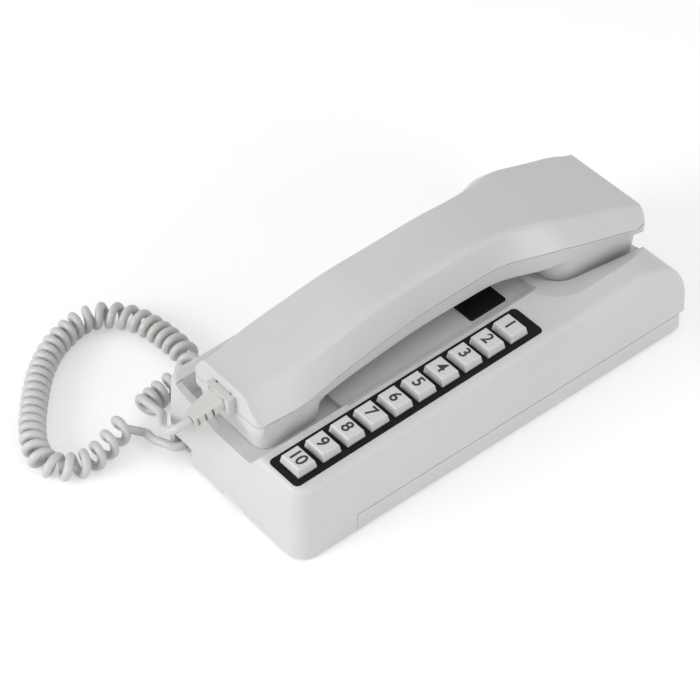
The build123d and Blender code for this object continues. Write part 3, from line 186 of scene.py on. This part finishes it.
class Graph:
    """The node graph of one material or world."""

    # The Mix node has sockets for numbers, vectors and colours, so the colours go by index
    MIX_FACTOR = 0
    MIX_FIRST = 6
    MIX_SECOND = 7
    MIX_COLOUR = 2

    def __init__(self, tree: bpy.types.NodeTree) -> None:
        """Empties the tree."""
        self.tree = tree
        tree.nodes.clear()

    def add(self, kind: str, settings: dict[str, Any], inputs: dict[str | int, Any]) -> Outputs:
        """Adds a node.

        Args:
            kind: The node's type.
            settings: Its settings, set first. "stops" are a ramp's two positions and colours.
            inputs: Values or plain numbers for its sockets, by name or index.

        Returns:
            The node's outputs.
        """
        node = self.tree.nodes.new(kind)
        for name, setting in settings.items():
            if name == "stops":
                self._set_stops(node.color_ramp, setting)
            else:
                setattr(node, name, setting)
        for name, given in inputs.items():
            if isinstance(given, Value):
                self.tree.links.new(given.socket, node.inputs[name])
            else:
                node.inputs[name].default_value = given
        return Outputs(self, node)

    @staticmethod
    def _set_stops(ramp: bpy.types.ColorRamp, stops: Sequence[tuple[float, Colour]]) -> None:
        """Gives a ramp its two stops, in order.

        Args:
            ramp: The ramp, which has two stops from the start.
            stops: The position and colour of each.
        """
        for element, (position, colour) in zip(ramp.elements, stops):
            element.position = position
            element.color = (*colour, 1.0)

    def place(self) -> Value:
        """Gives the point of the surface in metres, which rides with the piece."""
        return self.add("ShaderNodeTexCoord", {}, {})["Object"]

    def seen(self) -> Value:
        """Is 1 for rays from the camera or turned by metal or glass, and 0 for light."""
        rays = self.add("ShaderNodeLightPath", {}, {})
        return rays["Is Camera Ray"] + rays["Is Glossy Ray"] + rays["Is Transmission Ray"]

    def noise(self, size: float, detail: float = 2.0) -> Value:
        """Gives soft noise.

        Args:
            size: The width of one blot in metres.
            detail: How many finer layers it has.

        Returns:
            Noise from 0 to 1.
        """
        inputs = {"Vector": self.place(), "Scale": 1 / size, "Detail": detail}
        return self.add("ShaderNodeTexNoise", {}, inputs)["Fac"]

    def ramp(self, factor: Value, band: Band, first: Colour, second: Colour) -> Value:
        """Gives a colour that goes from the first to the second.

        Args:
            factor: What the colour follows.
            band: The factors where it leaves the first colour and reaches the second.
            first: The colour at low factors.
            second: The colour at high factors.

        Returns:
            The colour.
        """
        stops = ((band[0], first), (band[1], second))
        return self.add("ShaderNodeValToRGB", {"stops": stops}, {"Fac": factor})["Color"]

    def blend(self, factor: Value, first: Value | Colour, second: Value | Colour) -> Value:
        """Blends two colours by a factor.

        Args:
            factor: How much of the second colour there is, from 0 to 1.
            first: The first colour.
            second: The second colour.

        Returns:
            The blended colour.
        """
        inputs: dict[str | int, Any] = {self.MIX_FACTOR: factor}
        for index, given in ((self.MIX_FIRST, first), (self.MIX_SECOND, second)):
            inputs[index] = given if isinstance(given, Value) else (*given, 1.0)
        return self.add("ShaderNodeMix", {"data_type": "RGBA"}, inputs)[self.MIX_COLOUR]

    def bump(self, height: Value, depth: float) -> Value:
        """Turns a height from 0 to 1 into a bump of that depth in metres."""
        return self.add("ShaderNodeBump", {}, {"Height": height, "Distance": depth})["Normal"]


def shade(colour: Colour, share: float) -> Colour:
    """Makes a colour darker or lighter by a share."""
    return (colour[0] * share, colour[1] * share, colour[2] * share)


@dataclass(frozen=True)
class Finish:
    """A finish made around one Principled shader. Its sizes are in metres."""

    name: str

    def fixed(self) -> dict[str, float]:
        """Gives the sockets that are the same all over."""
        return {}

    def varied(self, graph: Graph) -> dict[str, Value]:
        """Gives the sockets that vary over the surface.

        Args:
            graph: The material's graph.

        Returns:
            The values by socket name.
        """
        raise NotImplementedError

    def build(self) -> bpy.types.Material:
        """Makes the material.

        Returns:
            The material.
        """
        material = bpy.data.materials.new(self.name)
        material.use_nodes = True
        graph = Graph(material.node_tree)
        sockets = {**self.fixed(), **self.varied(graph)}
        shader = graph.add("ShaderNodeBsdfPrincipled", {}, sockets)
        graph.add("ShaderNodeOutputMaterial", {}, {"Surface": shader["BSDF"]})
        return material


@dataclass(frozen=True)
class MouldedPlastic(Finish):
    """Moulded plastic with a fine eroded texture, faint mottling and slight handling shine."""

    colour: Colour
    roughness: float = 0.42
    grain: float = 0.0006
    depth: float = 0.00002
    mottling: float = 0.03
    ior: float = 1.5
    mottle_size: float = 0.045
    mottle_detail: float = 3.0
    pit_tone: float = 0.93
    pit_share: float = 0.25
    shine_size: float = 0.02
    shine_swing: float = 0.1

    def fixed(self) -> dict[str, float]:
        """Gives the sockets that are the same all over."""
        return {"IOR": self.ior}

    def varied(self, graph: Graph) -> dict[str, Value]:
        """Gives the sockets that vary over the surface.

        Args:
            graph: The material's graph.

        Returns:
            The values by socket name.
        """
        cloud = graph.noise(self.mottle_size, self.mottle_detail)
        fine = graph.noise(self.grain)
        light = shade(self.colour, 1 + self.mottling)
        dark = shade(self.colour, 1 - self.mottling)
        mottled = graph.ramp(cloud, NOISE_BAND, dark, light)
        shine = graph.noise(self.shine_size) * self.shine_swing
        return {
            "Base Color": graph.blend(
                fine * self.pit_share, mottled, shade(self.colour, self.pit_tone)
            ),
            "Roughness": self.roughness + shine - self.shine_swing / 2,
            "Normal": graph.bump(fine, self.depth),
        }


@dataclass(frozen=True)
class SoftVinyl(Finish):
    """Smooth flexible cord cover, slightly glossy, with faint marks along it."""

    colour: Colour
    roughness: float = 0.36
    roughness_swing: float = 0.12
    mark_size: float = 0.012
    dark: float = 0.95
    light: float = 1.03
    grain: float = 0.0009
    depth: float = 0.00001
    translucence: float = 0.04

    def fixed(self) -> dict[str, float]:
        """Gives the sockets that are the same all over."""
        return {"Subsurface Weight": self.translucence}

    def varied(self, graph: Graph) -> dict[str, Value]:
        """Gives the sockets that vary over the surface.

        Args:
            graph: The material's graph.

        Returns:
            The values by socket name.
        """
        marks = graph.noise(self.mark_size)
        dark, light = shade(self.colour, self.dark), shade(self.colour, self.light)
        swing = self.roughness_swing
        return {
            "Base Color": graph.ramp(marks, NOISE_BAND, dark, light),
            "Roughness": self.roughness + marks * swing - swing / 2,
            "Normal": graph.bump(graph.noise(self.grain), self.depth),
        }


@dataclass(frozen=True)
class BlackRubber(Finish):
    """Matt rubber with a dusty bloom."""

    colour: Colour
    roughness: float = 0.75
    roughness_swing: float = 0.15
    dust_size: float = 0.006
    dust_detail: float = 4.0
    dust_band: Band = (0.35, 0.8)
    bloom: float = 1.7
    grain: float = 0.0008
    depth: float = 0.00003

    def varied(self, graph: Graph) -> dict[str, Value]:
        """Gives the sockets that vary over the surface.

        Args:
            graph: The material's graph.

        Returns:
            The values by socket name.
        """
        dust = graph.noise(self.dust_size, self.dust_detail)
        dusty = shade(self.colour, self.bloom)
        return {
            "Base Color": graph.ramp(dust, self.dust_band, self.colour, dusty),
            "Roughness": self.roughness + dust * self.roughness_swing,
            "Normal": graph.bump(graph.noise(self.grain), self.depth),
        }


@dataclass(frozen=True)
class PlatedSteel(Finish):
    """Zinc-plated steel with fine turning marks."""

    colour: Colour = (0.62, 0.62, 0.64)
    roughness: float = 0.28
    roughness_swing: float = 0.2
    mark_size: float = 0.0012
    mark_detail: float = 5.0
    mark_tone: float = 0.85
    depth: float = 0.00001

    def fixed(self) -> dict[str, float]:
        """Gives the sockets that are the same all over."""
        return {"Metallic": 1.0}

    def varied(self, graph: Graph) -> dict[str, Value]:
        """Gives the sockets that vary over the surface.

        Args:
            graph: The material's graph.

        Returns:
            The values by socket name.
        """
        marks = graph.noise(self.mark_size, self.mark_detail)
        dark = shade(self.colour, self.mark_tone)
        return {
            "Base Color": graph.ramp(marks, NOISE_BAND, dark, self.colour),
            "Roughness": self.roughness + marks * self.roughness_swing,
            "Normal": graph.bump(marks, self.depth),
        }


@dataclass(frozen=True)
class BoardResist(Finish):
    """Green circuit board with lighter tracks under its varnish."""

    ground: Colour = (0.02, 0.13, 0.055)
    track: Colour = (0.05, 0.24, 0.1)
    track_height: float = 0.00004
    track_level: float = 0.52
    cells_per_metre: float = 260.0
    unevenness: float = 0.35
    roughness: float = 0.3
    roughness_swing: float = 0.1
    varnish_size: float = 0.004
    ior: float = 1.5

    def fixed(self) -> dict[str, float]:
        """Gives the sockets that are the same all over."""
        return {"IOR": self.ior}

    def varied(self, graph: Graph) -> dict[str, Value]:
        """Gives the sockets that vary over the surface.

        Args:
            graph: The material's graph.

        Returns:
            The values by socket name.
        """
        inputs = {
            "Vector": graph.place(),
            "Scale": self.cells_per_metre,
            "Randomness": self.unevenness,
        }
        cells = graph.add("ShaderNodeTexVoronoi", {"distance": "MANHATTAN"}, inputs)
        track = cells["Distance"].above(self.track_level)
        varnish = graph.noise(self.varnish_size) * self.roughness_swing
        return {
            "Base Color": graph.blend(track, self.ground, self.track),
            "Roughness": self.roughness + varnish,
            "Normal": graph.bump(track, self.track_height),
        }


@dataclass(frozen=True)
class ClearPlastic(Finish):
    """Clear moulded plug body with a faint frost."""

    clear: Colour = (0.72, 0.74, 0.72)
    frosted: Colour = (0.86, 0.88, 0.86)
    roughness: float = 0.08
    roughness_swing: float = 0.12
    frost_size: float = 0.002
    frost_detail: float = 3.0
    frost_band: Band = (0.2, 0.8)
    clearness: float = 0.75
    ior: float = 1.58

    def fixed(self) -> dict[str, float]:
        """Gives the sockets that are the same all over."""
        return {"Transmission Weight": self.clearness, "IOR": self.ior}

    def varied(self, graph: Graph) -> dict[str, Value]:
        """Gives the sockets that vary over the surface.

        Args:
            graph: The material's graph.

        Returns:
            The values by socket name.
        """
        frost = graph.noise(self.frost_size, self.frost_detail)
        return {
            "Base Color": graph.ramp(frost, self.frost_band, self.clear, self.frosted),
            "Roughness": self.roughness + frost * self.roughness_swing,
        }


@dataclass(frozen=True)
class PrintInk(Finish):
    """Black ink of the key numbers, a little worn."""

    fresh: Colour = (0.012, 0.012, 0.014)
    worn: Colour = (0.05, 0.05, 0.052)
    roughness: float = 0.4
    roughness_swing: float = 0.2
    wear_size: float = 0.0008
    wear_detail: float = 4.0
    wear_band: Band = (0.3, 0.85)

    def varied(self, graph: Graph) -> dict[str, Value]:
        """Gives the sockets that vary over the surface.

        Args:
            graph: The material's graph.

        Returns:
            The values by socket name.
        """
        wear = graph.noise(self.wear_size, self.wear_detail)
        return {
            "Base Color": graph.ramp(wear, self.wear_band, self.fresh, self.worn),
            "Roughness": self.roughness + wear * self.roughness_swing,
        }


@dataclass
class Wardrobe:
    """All the finishes, made once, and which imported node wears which."""

    case: MouldedPlastic = MouldedPlastic("case_plastic", (0.66, 0.655, 0.65))
    cap: MouldedPlastic = MouldedPlastic(
        "key_plastic", (0.67, 0.67, 0.668), grain=0.0004, mottling=0.015
    )
    panel: MouldedPlastic = MouldedPlastic(
        "panel_plastic", (0.006, 0.0065, 0.009), roughness=0.5, grain=0.0005, mottling=0.2,
        ior=1.22,
    )
    inner: MouldedPlastic = MouldedPlastic("inner_plastic", (0.05, 0.05, 0.055), roughness=0.5)
    boot: MouldedPlastic = MouldedPlastic("sleeve_rubber", (0.62, 0.62, 0.6), roughness=0.55)
    cord: SoftVinyl = SoftVinyl("cord_vinyl", (0.6, 0.605, 0.59))
    rubber: BlackRubber = BlackRubber("foot_rubber", (0.018, 0.018, 0.019))
    steel: PlatedSteel = PlatedSteel("plated_steel")
    board: BoardResist = BoardResist("board_resist")
    clear: ClearPlastic = ClearPlastic("plug_plastic")
    ink: PrintInk = PrintInk("number_ink")

    def worn_by(self) -> dict[str, Finish]:
        """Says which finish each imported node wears.

        Returns:
            The finish by node name.
        """
        groups: dict[Finish, tuple[str, ...]] = {
            self.case: ("base_cover", "base_tray", "handset_upper_shell", "handset_lower_shell"),
            self.cap: ("hook_plunger", *(f"key_{number}" for number in KEY_NUMBERS)),
            self.panel: ("key_panel", "label_plate"),
            self.rubber: ("rubber_feet", "receiver_gasket", "microphone_gasket"),
            self.boot: ("strain_relief",),
            self.board: ("circuit_board",),
            self.clear: ("cord_plug",),
            self.cord: ("cord_base_tail", "cord_coil", "cord_handset_tail"),
            self.inner: (
                "key_switches", "board_parts", "call_buzzer", "hook_switch", "line_terminal",
                "handset_jack", "receiver_capsule", "microphone_capsule",
            ),
            self.steel: (
                "board_screws", "terminal_screws", "handset_screws", "hook_spring",
                "handset_weight", *(f"key_spring_{number}" for number in KEY_NUMBERS),
            ),
        }
        return {name: finish for finish, names in groups.items() for name in names}

    def dress(self, nodes: dict[str, bpy.types.Object]) -> dict[str, bpy.types.Material]:
        """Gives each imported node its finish.

        Args:
            nodes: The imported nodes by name.

        Returns:
            The materials by finish name.
        """
        made = {self.ink.name: self.ink.build()}
        worn = self.worn_by()
        for name, node in nodes.items():
            finish = worn[name]
            if finish.name not in made:
                made[finish.name] = finish.build()
            node.data.materials.clear()
            node.data.materials.append(made[finish.name])
            LOG.info("dressed %s in %s", name, finish.name)
        return made


@dataclass
class Viewpoint:
    """The camera of the photograph."""

    place: Vector = Vector((0.578029, -0.528305, 0.793183))
    target: Vector = Vector((0.011947, -0.056663, 0.064044))
    lens: float = 128.57
    sensor: float = 36.0
    near_clip: float = 0.01

    def build(self) -> None:
        """Makes the camera and makes it the scene's own."""
        data = bpy.data.cameras.new("photo_camera")
        data.lens = self.lens
        data.sensor_width = self.sensor
        data.clip_start = self.near_clip
        camera = bpy.data.objects.new("photo_camera", data)
        camera.location = self.place
        camera.rotation_euler = (self.target - self.place).to_track_quat("-Z", "Y").to_euler()
        bpy.context.scene.collection.objects.link(camera)
        bpy.context.scene.camera = camera
        LOG.info("camera placed")


def smooth_line(name: str, points: Sequence[Sequence[float]], steps: int) -> bpy.types.Curve:
    """Makes a curve of one open NURBS spline.

    Args:
        name: The curve's name.
        points: The spline's control points.
        steps: How finely each run of the spline is divided.

    Returns:
        The curve.
    """
    curve = bpy.data.curves.new(name, "CURVE")
    curve.dimensions = "3D"
    curve.resolution_u = steps
    spline = curve.splines.new("NURBS")
    spline.points.add(len(points) - 1)
    for point, place in zip(spline.points, points):
        point.co = (*place, 1.0)
    spline.order_u = 3
    spline.use_endpoint_u = True
    spline.use_smooth = True
    return curve


@dataclass
class Cord:
    """The curly cord from the clear plug to the handset's sleeve, with a plain tail each end."""

    thickness: float = 3.9 * MM
    curl_radius: float = 4.35 * MM
    start_phase: float = 270.0
    points_per_turn: int = 14
    plug_lead: float = 7.0 * MM
    coil_lead: float = 5.0 * MM
    sleeve_lead: float = 7.0 * MM
    plug_exit: Vector = Vector((-0.033, -0.1085, 0.0072))
    sleeve_root: Vector = Vector((-0.010, -0.110, 0.0526))
    sleeve_length: float = 14.0 * MM
    sleeve_gap: float = 0.3 * MM
    sleeve_droop: float = 12.0
    axis_steps: int = 24
    axis_reach: int = 2
    cord_steps: int = 4
    round_steps: int = 5

    def axis_points(self) -> list[tuple[Vector, float]]:
        """Reads places along the coil's axis, each with its pitch.

        Returns:
            Places from the route's NURBS spline and the pitch at each.
        """
        curve = smooth_line("coil_axis", [row[:3] for row in COIL_ROUTE], self.axis_steps)
        guide = bpy.data.objects.new("coil_axis", curve)
        line = bpy.data.meshes.new_from_object(guide)
        places = [vertex.co.copy() for vertex in line.vertices]
        bpy.data.meshes.remove(line)
        bpy.data.objects.remove(guide)
        bpy.data.curves.remove(curve)
        # Each run of the spline has a route point at its middle, where that point's pitch holds
        runs = len(COIL_ROUTE) - 2
        samples = []
        for index, place in enumerate(places):
            along = index / (len(places) - 1) * runs
            run = min(int(along), runs - 1)
            share = along - run
            near, middle, far = (row[3] for row in COIL_ROUTE[run:run + 3])
            if share > 0.5:
                pitch = middle + (far - middle) * (share - 0.5)
            else:
                pitch = near + (middle - near) * (share + 0.5)
            samples.append((place, pitch))
        return samples

    def helix(self) -> list[Vector]:
        """Works out the curls around the axis.

        Returns:
            Points on the wire's middle line, at equal steps of angle.
        """
        samples = self.axis_points()
        phases = [0.0]
        for (place, pitch), (after, pitch_after) in zip(samples, samples[1:]):
            phases.append(phases[-1] + (after - place).length * 2 / (pitch + pitch_after))
        # Half a turn over a whole number puts the coil's two ends on opposite sides
        turns = round(phases[-1]) + 0.5
        phases = [phase * turns / phases[-1] for phase in phases]
        count = round(turns * self.points_per_turn)
        # The spline runs inside its control points, so they lie a little further out
        inset = math.cos(math.pi / self.points_per_turn)
        radius = self.curl_radius * 2 / (1 + inset)
        points = []
        index = 0
        for step in range(count + 1):
            turn = turns * step / count
            while index < len(phases) - 2 and phases[index + 1] < turn:
                index += 1
            share = (turn - phases[index]) / (phases[index + 1] - phases[index])
            centre = samples[index][0].lerp(samples[index + 1][0], share)
            low = samples[max(index - self.axis_reach, 0)][0]
            high = samples[min(index + 1 + self.axis_reach, len(samples) - 1)][0]
            ahead = (high - low).normalized()
            side = Vector((0, 0, 1)).cross(ahead).normalized()
            over = ahead.cross(side)
            angle = math.radians(self.start_phase - 360 * turn)
            points.append(centre + (side * math.cos(angle) + over * math.sin(angle)) * radius)
        return points

    def tube(self, name: str, points: list[Vector], skin: bpy.types.Material) -> bpy.types.Object:
        """Makes a round cord on one smooth spline.

        Args:
            name: The piece's name.
            points: The spline's control points.
            skin: The cord's finish.

        Returns:
            The curve object.
        """
        curve = smooth_line(name, points, self.cord_steps)
        curve.bevel_depth = self.thickness / 2
        curve.bevel_resolution = self.round_steps
        curve.use_fill_caps = True
        curve.materials.append(skin)
        piece = bpy.data.objects.new(name, curve)
        bpy.context.scene.collection.objects.link(piece)
        return piece

    @staticmethod
    def as_mesh(tube: bpy.types.Object) -> tuple[bpy.types.Object, list[Vector]]:
        """Turns a cord's curve into a mesh of the same name.

        Args:
            tube: The cord's curve object.

        Returns:
            The mesh object and the points of the spline that it follows.
        """
        name = tube.name
        mesh = bpy.data.meshes.new_from_object(tube)
        tube.data.bevel_depth = 0.0
        line = bpy.data.meshes.new_from_object(tube)
        path = [vertex.co.copy() for vertex in line.vertices]
        bpy.data.meshes.remove(line)
        bpy.data.curves.remove(tube.data)
        mesh.shade_smooth()
        piece = bpy.data.objects.new(name, mesh)
        bpy.context.scene.collection.objects.link(piece)
        return piece, path

    @staticmethod
    def flat_way(first: Vector, second: Vector, third: Vector) -> Vector:
        """Gives the level way in which a smooth line through three points leaves the first."""
        return ((second * 4 - first * 3 - third) * Vector((1, 1, 0))).normalized()

    def build(self, skin: bpy.types.Material) -> None:
        """Makes the curly piece and the handset's tail.

        Args:
            skin: The cord's finish.
        """
        curls = self.helix()
        start_way = self.flat_way(*curls[:3])
        end_way = -self.flat_way(*curls[:-4:-1])
        coil_start = curls[0] - start_way * self.thickness
        coil_end = curls[-1] + end_way * self.thickness
        lead = Vector((0, -self.plug_lead, 0))
        coil_in = coil_start - start_way * self.coil_lead
        plain = [self.plug_exit, self.plug_exit + lead, *map(Vector, PLUG_TAIL), coil_in]
        curly = self.tube("curly_cord", [*plain, coil_start, *curls, coil_end], skin)
        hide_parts("cord_coil", "cord_base_tail")
        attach(curly, "base")
        LOG.info("curly cord made, %d curl points", len(curls))
        droop = math.radians(self.sleeve_droop)
        way = Vector((0, -math.cos(droop), -math.sin(droop)))
        tip = self.sleeve_root + way * (self.sleeve_length + self.sleeve_gap)
        coil_out = coil_end + end_way * self.coil_lead
        sleeve_in = tip + way * self.sleeve_lead
        points = [coil_end, coil_out, *map(Vector, HANDSET_TAIL), sleeve_in, tip]
        tail, path = self.as_mesh(self.tube("handset_cord_tail", points, skin))
        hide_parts("cord_handset_tail")
        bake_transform(tail)
        LOG.info("handset tail made")


@dataclass
class KeyNumbers:
    """The plain numbers printed on the key tops."""

    height: float = 5.6 * MM
    height_share: float = 0.7
    boldness: float = 0.16 * MM
    relief: float = 0.05 * MM
    crown_band: float = 0.1 * MM

    def build(self, ink: bpy.types.Material) -> None:
        """Prints a number on each key.

        Args:
            ink: The numbers' finish.
        """
        for number in KEY_NUMBERS:
            font = bpy.data.curves.new(f"number_{number}", "FONT")
            font.body = str(number)
            font.align_x = "CENTER"
            font.align_y = "CENTER"
            font.size = self.height / self.height_share
            font.offset = self.boldness
            font.extrude = self.relief
            font.materials.append(ink)
            piece = bpy.data.objects.new(f"number_{number}", font)
            piece.location = self.key_top(f"key_{number}")
            piece.rotation_euler = (DECK_SLOPE, 0, 0)
            bpy.context.scene.collection.objects.link(piece)
            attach(piece, f"key_{number}")
            LOG.info("number %d printed", number)

    def key_top(self, node: str) -> Vector:
        """Finds the middle of a key's top face.

        Args:
            node: The key's node.

        Returns:
            The middle of the face, on its surface.
        """
        up = Vector((0, -math.sin(DECK_SLOPE), math.cos(DECK_SLOPE)))
        places = [vertex.co for vertex in bpy.data.objects[node].data.vertices]
        top = max(place.dot(up) for place in places)
        crown = [place for place in places if place.dot(up) > top - self.crown_band]
        across = [place.x for place in crown]
        along = [place.y for place in crown]
        middle_x = (min(across) + max(across)) / 2
        middle_y = (min(along) + max(along)) / 2
        return Vector((middle_x, middle_y, (top - middle_y * up.y) / up.z))


@dataclass(frozen=True)
class Lamp:
    """A soft square lamp that faces the telephone, with its power in watts."""

    spot: LampSpot
    place: tuple[float, float, float]
    power: float
    width: float

    def build(self) -> None:
        """Hangs the lamp."""
        data = bpy.data.lights.new(self.spot.value, "AREA")
        data.energy = self.power
        data.size = self.width
        lamp = bpy.data.objects.new(self.spot.value, data)
        lamp.location = self.place
        lamp.rotation_euler = (-Vector(self.place)).to_track_quat("-Z", "Y").to_euler()
        bpy.context.scene.collection.objects.link(lamp)


@dataclass
class Studio:
    """Plain soft light, a pale floor and a white surrounding."""

    floor_size: float = 6.0
    floor_tone: float = 0.8
    floor_glow: float = 0.35
    surround: float = 0.55
    lamps: tuple[Lamp, ...] = (
        Lamp(LampSpot.NEAR_LEFT, (-0.4, -1.35, 0.55), 12.0, 0.8),
        Lamp(LampSpot.ABOVE, (0.1, 0.5, 1.5), 1.6, 1.0),
        Lamp(LampSpot.RIGHT, (1.4, 0.2, 0.5), 6.5, 0.8),
    )

    def floor(self) -> None:
        """Makes the floor, which looks white to the camera and keeps the telephone's shadow."""
        half = self.floor_size / 2
        mesh = bpy.data.meshes.new("floor")
        corners = [(-half, -half, 0), (half, -half, 0), (half, half, 0), (-half, half, 0)]
        mesh.from_pydata(corners, [], [(0, 1, 2, 3)])
        plate = bpy.data.objects.new("floor", mesh)
        material = bpy.data.materials.new("floor_paper")
        material.use_nodes = True
        graph = Graph(material.node_tree)
        grey = (self.floor_tone, self.floor_tone, self.floor_tone, 1.0)
        paper = graph.add("ShaderNodeBsdfDiffuse", {}, {"Color": grey})
        glow = graph.seen() * self.floor_glow
        white = graph.add("ShaderNodeEmission", {}, {"Color": WHITE, "Strength": glow})
        both = graph.add("ShaderNodeAddShader", {}, {0: paper["BSDF"], 1: white["Emission"]})
        graph.add("ShaderNodeOutputMaterial", {}, {"Surface": both["Shader"]})
        mesh.materials.append(material)
        bpy.context.scene.collection.objects.link(plate)

    def sky(self) -> None:
        """Makes the white surrounding, which lights the telephone less than it looks."""
        world = bpy.data.worlds.new("surround")
        world.use_nodes = True
        graph = Graph(world.node_tree)
        strength = graph.seen() * (1 - self.surround) + self.surround
        light = graph.add("ShaderNodeBackground", {}, {"Color": WHITE, "Strength": strength})
        graph.add("ShaderNodeOutputWorld", {}, {"Surface": light["Background"]})
        bpy.context.scene.world = world

    def build(self) -> None:
        """Makes floor, surrounding and lamps."""
        self.floor()
        self.sky()
        for lamp in self.lamps:
            lamp.build()
        bpy.context.scene.view_settings.view_transform = "Standard"
        LOG.info("studio lit")


def main() -> None:
    """Builds the camera, the finishes with the cord, the numbers and the studio."""
    logging.basicConfig(level=logging.INFO)
    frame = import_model()
    Viewpoint().build()
    wardrobe = Wardrobe()
    materials = wardrobe.dress(frame["nodes"])
    Cord().build(materials[wardrobe.cord.name])
    KeyNumbers().build(materials[wardrobe.ink.name])
    Studio().build()


if __name__ == "__main__":
    main()
